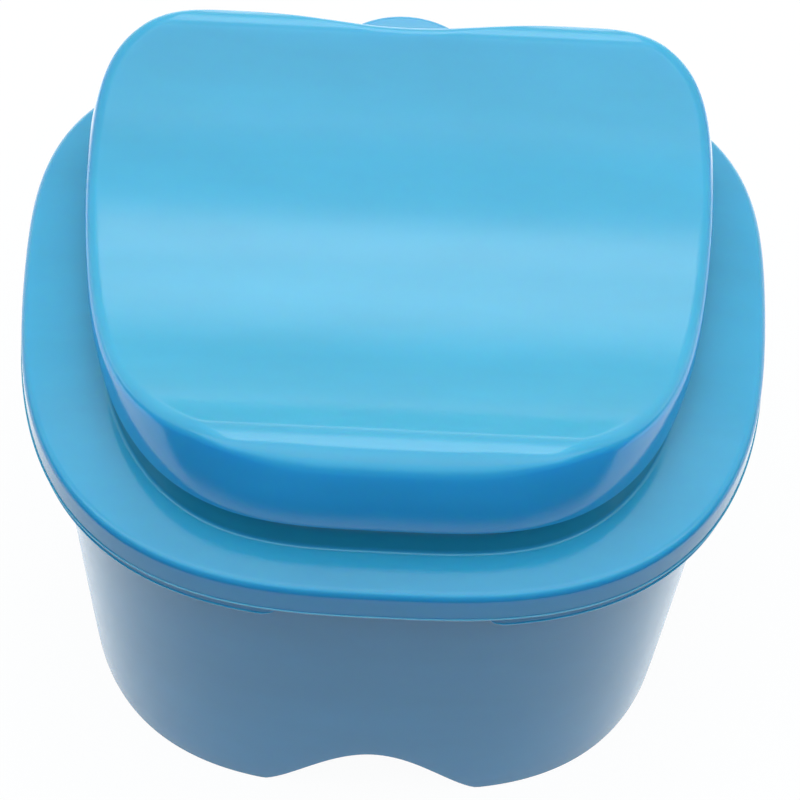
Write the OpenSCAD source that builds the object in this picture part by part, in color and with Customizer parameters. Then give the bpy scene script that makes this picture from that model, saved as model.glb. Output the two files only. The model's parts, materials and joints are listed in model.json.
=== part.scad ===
// Denture soaking case: a tapered cup, a rim frame that lifts out with the strainer
// basket hanging in it, and a saddle-topped lid hinged to the frame at the back.
// Millimetres, +Z up, front towards -Y, origin under the middle of the case.

/* [Case] */
// Width of the rim, side to side
case_w = 84.2; // [76:0.2:96]
// Depth of the rim, front to back, without the rear tab
case_d = 77.4; // [70:0.2:88]
// Distance from the front of the rim back to its widest line
widest_y = 42.6; // [36:0.2:46]
// How square the front half of the rim is, 2 being an ellipse
front_square = 2.85; // [2.2:0.05:3.6]
// How square the rear half of the rim is
rear_square = 3.15; // [2.4:0.05:4.2]

/* [Cup] */
// Height of the cup up to the top of its flange
cup_h = 45; // [36:0.5:60]
// Wall of the cup
cup_wall = 1.8; // [1.4:0.1:2.4]
// Floor of the cup
cup_floor = 1.6; // [1.2:0.1:2.4]
// Height of the foot skirt, from the table to the underside of the floor
foot_h = 9.6; // [8:0.2:13]
// How far the wall leans in from the flange down to the table
cup_taper = 4.4; // [2:0.2:7]
// Thickness of the flange under the rim
flange_t = 1.6; // [1.2:0.1:2.4]
// How far the flange edge stays inside the rim
flange_in = 0.4; // [0.1:0.1:0.8]
// Reach of the flange outside the cup wall
flange_reach = 2.4; // [2:0.1:4]
// Width of the thumb gap in the front of the flange
thumb_w = 23; // [14:0.2:28]
// Width of the arch in the front of the foot
arch_w = 25; // [18:0.5:36]
// Height of the arch in the front of the foot
arch_h = 8.4; // [4:0.2:9]
// Radius between the cup's wall and its floor
floor_round = 5; // [2:0.5:8]

/* [Rim frame] */
// Height of the rim from the flange to the deck
rim_h = 5.4; // [4.6:0.1:8]
// Rounding of the rim's upper edge
rim_round = 1.5; // [0.8:0.1:2.4]
// Wall of the frame
frame_wall = 1.8; // [1.4:0.1:2.2]
// Width of the deck beside the lid
deck_side = 6.4; // [5.8:0.1:9]
// Width of the deck in front of the lid
deck_front = 4.3; // [3.6:0.1:7]
// Width of the deck behind the lid
deck_rear = 5; // [4.6:0.1:9]
// Height of the collar above the deck
collar_h = 4.5; // [3.6:0.1:7]
// Thickness of the collar
collar_wall = 1.6; // [1.2:0.1:2]
// How far the lid edge stands out past the collar
lid_overhang = 0.9; // [0.4:0.1:1.6]
// Length of the spigot that locates the frame in the cup
spigot_h = 2.5; // [1.5:0.1:6]
// How far the rounded tab stands out behind the rim
tab_out = 6.6; // [3:0.1:7]
// Radius of the rear tab
tab_r = 9.8; // [8.6:0.1:13]

/* [Strainer basket] */
// Depth of the basket from its lip to the underside of its floor
basket_h = 36; // [28:0.5:38]
// Wall of the basket
basket_wall = 1.4; // [1:0.1:1.8]
// How far the basket's wall leans in over its depth
basket_taper = 3; // [1:0.2:6]
// Number of drain slots round the wall
slot_count = 26; // [16:2:32]
// Width of a drain slot
slot_w = 2.6; // [1.6:0.1:3]
// Length of a drain slot in the wall
slot_h = 19; // [10:0.5:22]
// Number of slots across the floor
floor_slots = 9; // [5:2:11]

/* [Lid] */
// Thickness of the lid's skin
lid_wall = 1.6; // [1.2:0.1:2]
// Height of the saddle's lowest line above the lid's lower edge
saddle_h = 1.95; // [1.7:0.05:4]
// Distance from the front of the rim to the saddle's lowest line
saddle_y = 38; // [34:0.1:42]
// Radius of the saddle's hollow, seen from the side
saddle_r = 54; // [46:1:90]
// Distance from the lid's front edge back to its front ridge
front_ridge_in = 4.5; // [3.5:0.1:7]
// Radius of the front ridge
front_ridge_r = 6; // [4:0.1:8]
// Distance from the lid's rear corners forward to its rear ridge
rear_ridge_in = 4.4; // [3.6:0.1:6]
// Radius of the rear ridge
rear_ridge_r = 3; // [2.4:0.1:5]
// Mean lean of the lid's upright faces, which curve in from plumb, in degrees
lid_draft = 8; // [2:0.5:12]
// Largest rounding of the lid's upper edge
lid_round = 1.4; // [0.8:0.1:2]
// How far the middle of the lid's rear edge is drawn in
rear_hollow = 2.4; // [0:0.1:3]
// Depth of the rib under the lid that locates it in the collar
rib_h = 2.2; // [1.4:0.1:2.6]
// Thickness of the locating rib
rib_wall = 1.2; // [0.8:0.1:1.6]

/* [Hinge] */
// Diameter of the hinge pin
pin_d = 2; // [1.6:0.1:2.4]
// Outer diameter of the hinge barrel
barrel_d = 4.2; // [4:0.1:5]
// Length of the lid's knuckle
knuckle_w = 8; // [6:0.5:10]
// Width of each ear on the frame
ear_w = 4; // [3:0.5:5]
// Distance from the back of the rim to the hinge axis
hinge_in = 2.6; // [2:0.1:3.4]
// Angle to which the lid opens
lid_open = 110; // [90:1:115]

/* [Hidden] */

// Points round each outline and clearances
steps = 60;
seat_gap = 0.05;
slide_gap = 0.3;
pin_gap = 0.06;
side_gap = 0.2;
edge = 0.3;
hinge_lift = 0.4;
far = 60;

// Places worked out from the sizes above
front_y = -(case_d + tab_out) / 2;
back_y = front_y + case_d;
mid_y = front_y + widest_y;
deck_z = cup_h + rim_h;
land_z = deck_z + collar_h + seat_gap;
wall_in = flange_in + flange_reach;
mouth_in = wall_in + cup_wall;
deck_under = deck_z - frame_wall;
hinge_y = back_y - hinge_in;
pad_z = deck_z + hinge_lift;
hinge_z = pad_z + barrel_d / 2 + side_gap;
pin_r = pin_d / 2;

// Outlines: half width, front reach, rear reach, front and rear squareness,
// Y of the widest line, narrowing to the front, hollow of the rear edge
rim = [case_w / 2, widest_y, case_d - widest_y, front_square, rear_square, mid_y, 0.036, 0];
lid_mid_y = mid_y + 6.8;
lid_line = [
    case_w / 2 - deck_side,
    lid_mid_y - front_y - deck_front,
    back_y - deck_rear - lid_mid_y,
    3.4, 4.5, lid_mid_y, 0.12, rear_hollow];

// Back of the lid's line in the middle
lid_rear_y = back_y - deck_rear - rear_hollow;

// Insets from the lid's line
collar_in = lid_overhang;
bore_in = collar_in + collar_wall;
rib_in = bore_in + slide_gap;
ledge_in = bore_in + frame_wall;

// Heights inside the frame
rib_z = land_z - rib_h;
lip_t = 1.2;
lip_z = rib_z - side_gap;
ledge_z = lip_z - lip_t;

// Saddle profile, seen from the side: one hollow arc that meets a rounded ridge at
// each end; depth is how far below the lid's top the profile runs
low_y = front_y + saddle_y;
saddle_z = land_z + saddle_h;
hollow_z = saddle_z + saddle_r;
front_ridge = [front_y + deck_front + front_ridge_in, front_ridge_r];
rear_ridge = [back_y - deck_rear - rear_ridge_in, rear_ridge_r];
function ridge_z(r) = hollow_z - sqrt(pow(saddle_r + r[1], 2) - pow(r[0] - low_y, 2));
function ridge_edge(r, depth) = low_y + (r[0] - low_y) * (saddle_r + depth) / (saddle_r + r[1]);
function ridge_rise(r, y, depth) =
    let (radius = r[1] - depth)
    sqrt(max(radius * radius / 10, radius * radius - pow(y - r[0], 2)));
function saddle(y, depth = 0) =
    y < ridge_edge(front_ridge, depth) ? ridge_z(front_ridge) + ridge_rise(front_ridge, y, depth)
    : y > ridge_edge(rear_ridge, depth) ? ridge_z(rear_ridge) + ridge_rise(rear_ridge, y, depth)
    : hollow_z - sqrt(pow(saddle_r + depth, 2) - pow(y - low_y, 2));
function slope(y) = (saddle(y + 0.05) - saddle(y - 0.05)) / 0.1;

// Point of an outline at an angle, drawn in by an inset
function line_point(s, t, d) =
    let (
        ahead = sin(t) < 0,
        a = s[0] - d,
        b = (ahead ? s[1] : s[2]) - d,
        n = ahead ? s[3] : s[4],
        r = pow(pow(abs(cos(t)) / a, n) + pow(abs(sin(t)) / b, n), -1 / n),
        x = r * cos(t),
        y = r * sin(t),
        hollow = s[7] * (0.5 + 0.5 * cos(180 * min(1, abs(x) / (0.75 * s[0])))) * y / b)
    ahead ? [x * (1 + s[6] * y / s[1]), y + s[5]] : [x, y - hollow + s[5]];
function line(s, d) = [for (i = [0 : steps - 1]) line_point(s, 360 * i / steps, d)];
function ring(s, d, z) = [for (p = line(s, d)) [p.x, p.y, z]];

// Skin from one ring to the next; the rings run up the outside and down the inside
function quad(a, b, i) = let (j = (i + 1) % steps)
    [[a + i, b + i, b + j], [a + i, b + j, a + j]];
function skin(a, b) = [for (i = [0 : steps - 1]) each quad(a * steps, b * steps, i)];

// Solid with a flat face closing the first ring and the last
module capped(rings) {
    last = len(rings) - 1;
    polyhedron(
        points = [for (r = rings) each r],
        faces = [
            [for (i = [0 : steps - 1]) i],
            for (k = [0 : last - 1]) each skin(k, k + 1),
            [for (i = [steps - 1 : -1 : 0]) last * steps + i]],
        convexity = 8);
}

// Closed loop of rings, like a bent frame
module looped(rings) {
    count = len(rings);
    polyhedron(
        points = [for (r = rings) each r],
        faces = [for (k = [0 : count - 1]) each skin(k, (k + 1) % count)],
        convexity = 8);
}

// Solid whose first and last surfaces close in a point
module domed(first, rings, end) {
    last = len(rings) - 1;
    tip = len(rings) * steps;
    polyhedron(
        points = concat([for (r = rings) each r], [first, end]),
        faces = [
            for (i = [0 : steps - 1]) [tip, i, (i + 1) % steps],
            for (k = [0 : last - 1]) each skin(k, k + 1),
            for (i = [0 : steps - 1]) [tip + 1, last * steps + (i + 1) % steps, last * steps + i]],
        convexity = 8);
}

// Inset of the cup's outer wall at a height
function cup_in(z) = wall_in + cup_taper * (cup_h - z) / cup_h;

// Profile along Y and Z drawn out evenly to both sides of the middle plane
module across(width) {
    rotate([90, 0, 90])
        translate([0, 0, -width / 2])
            linear_extrude(width) children();
}

// Full rounded arch with soft feet, cut up from below
module arch_shape() {
    count = 20;
    polygon(concat(
        [for (i = [0 : count]) let (u = 2 * i / count - 1)
            [u * arch_w / 2, arch_h * pow(0.5 + 0.5 * cos(180 * u), 0.65)]],
        [[arch_w / 2, -edge], [-arch_w / 2, -edge]]));
}

module flange() {
    top = flange_in + edge;
    low_z = cup_h - flange_t;
    inner = mouth_in - cup_wall / 2;
    looped([
        ring(rim, inner, low_z),
        ring(rim, top, low_z),
        ring(rim, flange_in, low_z + edge),
        ring(rim, flange_in, cup_h - edge),
        ring(rim, top, cup_h),
        ring(rim, inner, cup_h)]);
}

module tub() {
    floor_z = foot_h + cup_floor;
    round_z = floor_z + floor_round;
    capped(concat(
        [
            ring(rim, cup_in(foot_h) + cup_wall, foot_h),
            ring(rim, cup_in(0) + cup_wall, 0),
            ring(rim, cup_in(0) + edge, 0),
            ring(rim, cup_in(edge), edge),
            ring(rim, cup_in(cup_h / 2), cup_h / 2),
            ring(rim, cup_in(cup_h - edge), cup_h - edge),
            ring(rim, cup_in(cup_h) + edge, cup_h),
            ring(rim, mouth_in, cup_h)],
        [for (a = [0 : 30 : 90])
            ring(
                rim,
                cup_in(round_z) + cup_wall + floor_round * (1 - cos(a)),
                round_z - floor_round * sin(a))]));
}

module cup() {
    color("#4f9fce") {
        difference() {
            flange();
            translate([-thumb_w / 2, front_y - 1, cup_h - flange_t - 1])
                cube([thumb_w, -front_y, flange_t + 2]);
        }
        difference() {
            tub();
            translate([0, front_y + widest_y / 2, 0])
                rotate([90, 0, 0])
                    linear_extrude(far) arch_shape();
        }
    }
}

// Cross-section of the frame, up the skirt, over the deck and collar and back below
module frame_ring() {
    spigot_in = mouth_in + slide_gap;
    spigot_low = cup_h - spigot_h;
    skirt_top = deck_z - rim_round;
    looped(concat(
        [
            ring(rim, edge, cup_h + seat_gap),
            ring(rim, 0, cup_h + seat_gap + edge)],
        [for (a = [0 : 22.5 : 90])
            ring(rim, rim_round * (1 - cos(a)), skirt_top + rim_round * sin(a))],
        [
            ring(lid_line, collar_in - 2 * edge, deck_z),
            ring(lid_line, collar_in, deck_z + 2 * edge),
            ring(lid_line, collar_in, land_z - seat_gap - edge),
            ring(lid_line, collar_in + edge, land_z - seat_gap),
            ring(lid_line, bore_in - edge, land_z - seat_gap),
            ring(lid_line, bore_in, land_z - seat_gap - edge),
            ring(lid_line, bore_in, ledge_z),
            ring(lid_line, ledge_in, ledge_z),
            ring(lid_line, ledge_in, deck_under),
            ring(rim, spigot_in + frame_wall, deck_under),
            ring(rim, spigot_in + frame_wall, spigot_low),
            ring(rim, spigot_in + edge, spigot_low),
            ring(rim, spigot_in, spigot_low + 2 * edge),
            ring(rim, spigot_in, deck_under),
            ring(rim, frame_wall, deck_under),
            ring(rim, frame_wall, cup_h + seat_gap)]));
}

// Rounded tab behind the rim, with a slightly raised pad under the hinge
module rear_tab() {
    thick = pad_z - deck_under;
    soft = thick * 0.4;
    intersection() {
        translate([0, back_y + tab_out - tab_r, deck_under])
            rotate_extrude($fn = 96)
                union() {
                    square([tab_r - soft, thick]);
                    translate([0, soft]) square([tab_r, thick - 2 * soft]);
                    translate([tab_r - soft, soft]) circle(soft, $fn = 32);
                    translate([tab_r - soft, thick - soft]) circle(soft, $fn = 32);
                }
        translate([-far / 2, lid_rear_y - collar_in - collar_wall / 2, deck_under - 1])
            cube([far, far, thick + 2]);
    }
}

module ear_shape() {
    translate([hinge_y, hinge_z]) circle(d = barrel_d, $fn = 48);
    translate([hinge_y - barrel_d / 2, deck_under + edge])
        square([barrel_d, hinge_z - deck_under - edge]);
}

module rim_frame() {
    ear_x = knuckle_w / 2 + side_gap + ear_w / 2;
    color("#5aadd6")
        difference() {
            union() {
                frame_ring();
                rear_tab();
                for (side = [-1, 1])
                    translate([side * ear_x, 0, 0]) across(ear_w) ear_shape();
            }
            translate([0, hinge_y, hinge_z])
                rotate([0, 90, 0])
                    cylinder(r = pin_r, h = far, center = true, $fn = 48);
        }
}

// Basket: inset at its lip, height of its floor, rounding, and inset at any height
basket_in = ledge_in + slide_gap;
basket_low = lip_z - basket_h;
basket_round = 6;
slot_top = ledge_z - 5;
function basket_line(z) = basket_in + basket_taper * (ledge_z - z) / basket_h;

module basket_shell() {
    round_z = basket_low + basket_round;
    inner_round = basket_round - basket_wall;
    capped(concat(
        [for (a = [90 : -30 : 0])
            ring(
                lid_line,
                basket_line(round_z) + basket_round * (1 - cos(a)),
                round_z - basket_round * sin(a))],
        [
            ring(lid_line, basket_in, ledge_z),
            ring(lid_line, bore_in + slide_gap, ledge_z),
            ring(lid_line, bore_in + slide_gap, lip_z),
            ring(lid_line, basket_in + basket_wall, lip_z)],
        [for (a = [0 : 30 : 90])
            ring(
                lid_line,
                basket_line(round_z) + basket_wall + inner_round * (1 - cos(a)),
                round_z - inner_round * sin(a))]));
}

// Upright slot with round ends, cut outwards through the wall
module wall_slot(angle) {
    translate([0, low_y, slot_top - slot_h + slot_w / 2])
        rotate([90, 0, angle + 90])
            linear_extrude(far)
                hull() {
                    circle(d = slot_w, $fn = 12);
                    translate([0, slot_h - slot_w]) circle(d = slot_w, $fn = 12);
                }
}

// Slot along Y in the floor, with round ends
module floor_slot(x, length) {
    translate([x, low_y, basket_low - 1])
        linear_extrude(basket_wall + 2)
            hull() {
                translate([0, (slot_w - length) / 2]) circle(d = slot_w, $fn = 12);
                translate([0, (length - slot_w) / 2]) circle(d = slot_w, $fn = 12);
            }
}

module strainer_basket() {
    pitch = slot_w * 1.9;
    reach = lid_line[0] - basket_in - basket_taper - basket_round;
    color("#7cc0e0")
        difference() {
            basket_shell();
            for (i = [0 : slot_count - 1]) wall_slot(360 * (i + 0.5) / slot_count);
            for (i = [-(floor_slots - 1) / 2 : (floor_slots - 1) / 2])
                floor_slot(i * pitch, 2 * reach * sqrt(1 - pow(i * pitch / (reach + slot_w), 2)));
        }
}

// Lean that the crowned face has reached where the bend takes over
face_lean = atan(2 * tan(lid_draft));

// The lid's bent edge at an angle round its line: how far the upright face leans in
// below the bend, the bend's radius, how steeply the top falls inwards behind it, in
// degrees, and the height of the bend's centre
function fall_at(t, d) =
    let (
        p = line_point(lid_line, t, d),
        q = line_point(lid_line, t, d + 1))
    atan(-slope(p.y) * (q.y - p.y) / norm(q - p));
function edge_bend(t) =
    let (
        start = 1.5 * lid_round,
        high = saddle(line_point(lid_line, t, start).y) - land_z,
        first = fall_at(t, start),
        r = min(lid_round * (1 + min(0, first) / 75), high - 2 * edge),
        lean = (high - r) * tan(lid_draft),
        fall = fall_at(t, lean + r * (cos(face_lean) + sin(first))),
        inner = line_point(lid_line, t, lean + r * (cos(face_lean) + sin(fall))))
    [lean, r, fall, saddle(inner.y) - r * cos(fall)];

// Ring of the upright face, and of the bend; part is how far up or round it lies
function face_point(t, part) =
    let (
        bend = edge_bend(t),
        q = line_point(lid_line, t, part * part * bend[0]),
        low = land_z + edge)
    [q.x, q.y, low + part * (bend[3] + bend[1] * sin(face_lean) - low)];
function bend_point(t, part) =
    let (
        bend = edge_bend(t),
        turn = face_lean + part * (90 + bend[2] - face_lean),
        q = line_point(lid_line, t, bend[0] + bend[1] * (cos(face_lean) - cos(turn))))
    [q.x, q.y, bend[3] + bend[1] * sin(turn)];
function face_ring(part) = [for (i = [0 : steps - 1]) face_point(360 * i / steps, part)];
function bend_ring(part) = [for (i = [0 : steps - 1]) bend_point(360 * i / steps, part)];

// Point of the lid's top skin or its underside, a share of the way out from the middle
function spread(rim_points, part) = [for (p = rim_points)
    [p.x * part, low_y + (p.y - low_y) * part]];
function top_ring(part) = [for (p = spread(bend_ring(1), part)) [p.x, p.y, saddle(p.y)]];
function low_ring(part) = [for (p = spread(line(lid_line, rib_in + rib_wall), part))
    [p.x, p.y, saddle(p.y, lid_wall)]];

module lid_shell() {
    parts = [0.3, 0.5, 0.64, 0.75, 0.84, 0.91, 0.96];
    domed(
        [0, low_y, saddle(low_y, lid_wall)],
        concat(
            [for (part = parts) low_ring(part)],
            [
                low_ring(1),
                ring(lid_line, rib_in + rib_wall, rib_z),
                ring(lid_line, rib_in + edge, rib_z),
                ring(lid_line, rib_in, rib_z + edge),
                ring(lid_line, rib_in, land_z),
                ring(lid_line, 2 * edge, land_z),
                ring(lid_line, edge / 3, land_z + edge / 3)],
            [for (part = [0, 0.4, 0.7]) face_ring(part)],
            [for (part = [0 : 1 / 6 : 1.01]) bend_ring(part)],
            [for (i = [len(parts) - 1 : -1 : 0]) top_ring(parts[i])]),
        [0, low_y, saddle(low_y)]);
}

// Barrel of the lid's knuckle with its arm and the lug that stops the lid when open
module knuckle_shape() {
    r = barrel_d / 2;
    arm_y = lid_rear_y - 1;
    drop = hinge_z - pad_z;
    lug_r = drop + 0.45;
    lug_angle = lid_open - asin(drop / lug_r) + 1.5;
    translate([hinge_y, hinge_z]) {
        circle(d = barrel_d, $fn = 48);
        polygon([
            [0, 0],
            lug_r * [cos(lug_angle), sin(lug_angle)],
            lug_r * [cos(lug_angle + 22), sin(lug_angle + 22)]]);
    }
    polygon([
        [arm_y, land_z + edge],
        [arm_y + 2, land_z],
        [hinge_y - r * 0.75, hinge_z - r * 0.66],
        [hinge_y, hinge_z],
        [hinge_y, hinge_z + r],
        [arm_y, land_z + saddle_h + edge]]);
}

module lid() {
    color("#66b9dd")
        difference() {
            union() {
                lid_shell();
                across(knuckle_w) knuckle_shape();
            }
            translate([0, hinge_y, hinge_z])
                rotate([0, 90, 0])
                    cylinder(r = pin_r + pin_gap, h = knuckle_w + 2, center = true, $fn = 48);
        }
}

module hinge_pin() {
    length = knuckle_w + 2 * (side_gap + ear_w);
    color("#4a96c4")
        translate([-length / 2, hinge_y, hinge_z])
            rotate([0, 90, 0])
                cylinder(r = pin_r, h = length, $fn = 48);
}

cup();
rim_frame();
strainer_basket();
lid();
hinge_pin();
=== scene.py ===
"""Denture soaking case: moulded pieces, their plastics and the studio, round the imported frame."""

import json
import math
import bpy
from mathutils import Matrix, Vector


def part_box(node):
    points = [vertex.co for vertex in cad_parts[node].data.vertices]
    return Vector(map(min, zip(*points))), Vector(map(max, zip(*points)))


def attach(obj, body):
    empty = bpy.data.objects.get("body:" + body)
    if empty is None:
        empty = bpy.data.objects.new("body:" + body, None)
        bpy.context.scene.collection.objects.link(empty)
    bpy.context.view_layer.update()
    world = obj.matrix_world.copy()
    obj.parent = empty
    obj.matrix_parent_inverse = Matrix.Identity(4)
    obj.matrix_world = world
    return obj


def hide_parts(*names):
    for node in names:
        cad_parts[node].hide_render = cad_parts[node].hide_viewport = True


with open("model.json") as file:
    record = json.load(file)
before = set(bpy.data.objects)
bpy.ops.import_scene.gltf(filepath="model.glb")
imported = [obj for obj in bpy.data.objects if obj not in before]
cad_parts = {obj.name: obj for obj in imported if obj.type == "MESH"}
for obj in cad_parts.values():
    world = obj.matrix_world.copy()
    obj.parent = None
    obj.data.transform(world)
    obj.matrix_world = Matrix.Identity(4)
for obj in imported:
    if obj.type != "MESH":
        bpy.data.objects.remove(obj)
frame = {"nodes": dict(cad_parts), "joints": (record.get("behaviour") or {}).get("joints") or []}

from types import SimpleNamespace

import bmesh
import bpy
import numpy as np
from bpy.props import FloatProperty, FloatVectorProperty, IntProperty, PointerProperty
from mathutils import Matrix, Vector

bl_info = {
    "name": "Denture Case",
    "version": (1, 0, 0),
    "blender": (4, 5, 0),
    "location": "3D View > Sidebar > Denture Case",
    "description": "Builds the pieces of a denture soaking case and the studio round it",
    "category": "Add Mesh",
}

MM = 0.001
RING = 360  # points round an outline
ANGLES = np.arange(RING) * 2 * np.pi / RING
EDGE = 0.3 * MM  # clearances, and the rounding of hidden edges
LIP = 0.5 * MM  # rounding of the lower edges that show
LIP_SOFT = 0.35 * MM  # rounding of the foot and of inner corners
BEAD = 0.12 * MM  # ledge that the mould leaves along a lower edge

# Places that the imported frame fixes: its outer box and the axis of the lid's hinge
RIM_LOW, RIM_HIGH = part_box("rim_frame")
CUP_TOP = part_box("cup")[1].z
PIN_LOW, PIN_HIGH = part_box("hinge_pin")
PIN_RADIUS = (PIN_HIGH.z - PIN_LOW.z) / 2
HINGE = Vector(next(j["pos_m"] for j in frame["joints"] if j["name"] == "lid_hinge"))


def srgb(hex_colour):
    """Linear RGBA of an sRGB hex colour."""
    parts = [int(hex_colour[i : i + 2], 16) / 255 for i in (1, 3, 5)]
    linear = [c / 12.92 if c <= 0.04045 else ((c + 0.055) / 1.055) ** 2.4 for c in parts]
    return (*linear, 1.0)


def length(name, description, millimetres):
    """Property that holds a length, given in millimetres."""
    return FloatProperty(
        name=name, description=description, default=millimetres * MM, unit="LENGTH", precision=4
    )


def ratio(name, description, value):
    """Property that holds a plain number."""
    return FloatProperty(name=name, description=description, default=value)


def degrees(name, description, value):
    """Property that holds an angle, given in degrees."""
    return FloatProperty(
        name=name, description=description, default=math.radians(value), subtype="ANGLE"
    )


def colour(name, description, hex_colour):
    """Property that holds a colour, given as sRGB hex."""
    return FloatVectorProperty(
        name=name, description=description, subtype="COLOR", size=4, min=0, max=1,
        default=srgb(hex_colour),
    )


class RimSizes(bpy.types.PropertyGroup):
    """Outline of the rim, which the cup follows too."""

    width: length("Width", "Width of the rim, side to side", (RIM_HIGH.x - RIM_LOW.x) / MM)
    depth: length("Depth", "Depth of the rim, front to back, without the rear tab", 77.4)
    widest: length("Widest line", "Distance from the front back to the widest line", 42.6)
    front_square: ratio("Front squareness", "How square the front half is; 2 is an ellipse", 2.85)
    rear_square: ratio("Rear squareness", "How square the rear half is", 3.15)
    narrowing: ratio("Narrowing", "Share by which the outline narrows towards the front", 0.036)


class CupSizes(bpy.types.PropertyGroup):
    """Tub, flange and foot of the cup."""

    wall: length("Wall", "Thickness of the cup's wall", 1.8)
    floor: length("Floor", "Thickness of the cup's floor", 1.6)
    foot: length("Foot", "Height of the foot skirt under the floor", 9.6)
    taper: length("Taper", "How far the wall leans in from the flange to the table", 4.4)
    flange: length("Flange", "Thickness of the flange under the rim", 1.6)
    flange_in: length("Flange inset", "How far the flange edge stays inside the rim", 0.4)
    flange_reach: length("Flange reach", "Reach of the flange outside the wall", 2.4)
    thumb_gap: length("Thumb gap", "Width of the gap in the front of the flange", 23)
    arch_width: length("Arch width", "Width of the arch in the front of the foot", 25)
    arch_height: length("Arch height", "Height of the arch in the front of the foot", 8.4)
    floor_round: length("Floor radius", "Radius between the wall and the floor", 5)


class FrameSizes(bpy.types.PropertyGroup):
    """Skirt, deck, collar, spigot and tab of the rim frame."""

    height: length("Height", "Height of the rim from the flange to the deck", 5.4)
    rounding: length("Rounding", "Radius of the rim's upper edge", 1.1)
    crown: length("Crown", "How far the crowned deck falls to its outer edge", 0.8)
    wall: length("Wall", "Wall of the frame", 1.8)
    deck_side: length("Deck, sides", "Width of the deck beside the lid", 6.4)
    deck_front: length("Deck, front", "Width of the deck in front of the lid", 4.3)
    deck_rear: length("Deck, rear", "Width of the deck behind the lid", 5)
    collar: length("Collar height", "Height of the collar above the deck", 4.5)
    collar_wall: length("Collar wall", "Thickness of the collar", 1.6)
    overhang: length("Lid overhang", "How far the lid edge stands out past the collar", 0.9)
    spigot: length("Spigot", "Length of the spigot inside the cup's mouth", 2.5)
    tab_radius: length("Tab radius", "Radius of the rounded tab behind the rim", 9.8)


class BasketSizes(bpy.types.PropertyGroup):
    """Strainer basket that hangs in the frame."""

    depth: length("Depth", "Depth from the lip to the underside of the floor", 36)
    wall: length("Wall", "Wall of the basket", 1.4)
    taper: length("Taper", "How far the wall leans in over its depth", 3)
    slots: IntProperty(name="Slots", description="Number of drain slots round the wall", default=26)
    slot_width: length("Slot width", "Width of a drain slot", 2.6)
    slot_height: length("Slot height", "Length of a drain slot in the wall", 19)
    floor_slots: IntProperty(name="Floor slots", description="Slots in the floor", default=9)


class LidSizes(bpy.types.PropertyGroup):
    """Saddle-topped lid."""

    wall: length("Wall", "Thickness of the lid's skin", 1.6)
    square_front: ratio("Front squareness", "How square the front half of the lid is", 3.4)
    square_rear: ratio("Rear squareness", "How square the rear half of the lid is", 4.5)
    narrowing: ratio("Narrowing", "Share by which the lid narrows towards the front", 0.12)
    shift: length("Widest shift", "Distance of the lid's widest line behind the rim's", 6.8)
    saddle: length("Saddle height", "Height of the saddle's lowest line above the lid's edge", 1.95)
    saddle_back: length("Saddle place", "Distance from the rim's front to the lowest line", 38)
    saddle_radius: length("Saddle radius", "Radius of the hollow, seen from the side", 54)
    front_ridge_in: length("Front ridge inset", "Distance from the lid's front edge", 4.5)
    front_ridge: length("Front ridge radius", "Radius of the front ridge", 6)
    rear_ridge_in: length("Rear ridge inset", "Distance from the lid's rear edge", 4.4)
    rear_ridge: length("Rear ridge radius", "Radius of the rear ridge", 3)
    draft: degrees("Draft", "Lean of the upright faces", 8)
    rounding: length("Edge rounding", "Largest rounding of the upper edge", 1.4)
    nose: length("Nose radius", "Rounding of the front edge", 3.3)
    nose_draft: degrees("Nose draft", "Mean lean of the front face", 14)
    hollow: length("Rear hollow", "How far the middle of the rear edge is drawn in", 2.4)
    rib: length("Rib", "Depth of the rib that locates the lid in the collar", 2.2)
    rib_wall: length("Rib wall", "Thickness of the locating rib", 1.2)


class HingeSizes(bpy.types.PropertyGroup):
    """Knuckle, ears and pin."""

    barrel: length("Barrel", "Outer diameter of the hinge barrel", 4.2)
    knuckle: length("Knuckle", "Length of the lid's knuckle", 8)
    ear: length("Ear", "Width of each ear on the frame", 4)
    opening: degrees("Opening", "Angle to which the lid opens", 110)


class Finishes(bpy.types.PropertyGroup):
    """Colours of the plastics; the deeper copies paint shade on upright skins, and the collar
    colour paints a shadow under the lid.
    """

    lid: colour("Lid", "Sky blue of the lid", "#3ba4c4")
    frame: colour("Rim frame", "Sky blue of the rim frame", "#3b9fc2")
    cup: colour("Cup", "Slightly deeper blue of the thicker cup wall", "#3a9fc8")
    basket: colour("Basket", "Paler blue of the thin strainer basket", "#62b6da")
    pin: colour("Pin", "Blue of the hinge rod", "#3d92c0")
    # Painted shade: the lid's upright skins are coloured a deeper blue than its level tops
    upright_shade: colour("Upright skins", "Deeper blue of the skins that stand upright", "#309ed4")
    # Painted shade: the frame's upright skirt and rounded edge are coloured a deeper blue than its
    # level deck
    skirt: colour("Skirt", "Deeper blue of the rim's skirt and edge", "#3292bf")
    # Painted shadow: the front of the collar is coloured a darker blue-green, for the shade under
    # the lid's overhang
    collar: colour("Collar", "Teal of the collar, where three skins overlap", "#1f7c96")
    # Painted shade: the cup's upright wall is coloured a deeper blue than its level faces
    cup_upright_shade: colour("Cup wall", "Deeper blue of the cup's wall", "#2f88b2")


class DentureCase(bpy.types.PropertyGroup):
    """Everything a user would change."""

    rim: PointerProperty(type=RimSizes)
    cup: PointerProperty(type=CupSizes)
    frame: PointerProperty(type=FrameSizes)
    basket: PointerProperty(type=BasketSizes)
    lid: PointerProperty(type=LidSizes)
    hinge: PointerProperty(type=HingeSizes)
    finish: PointerProperty(type=Finishes)


# Outlines and places


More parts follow.
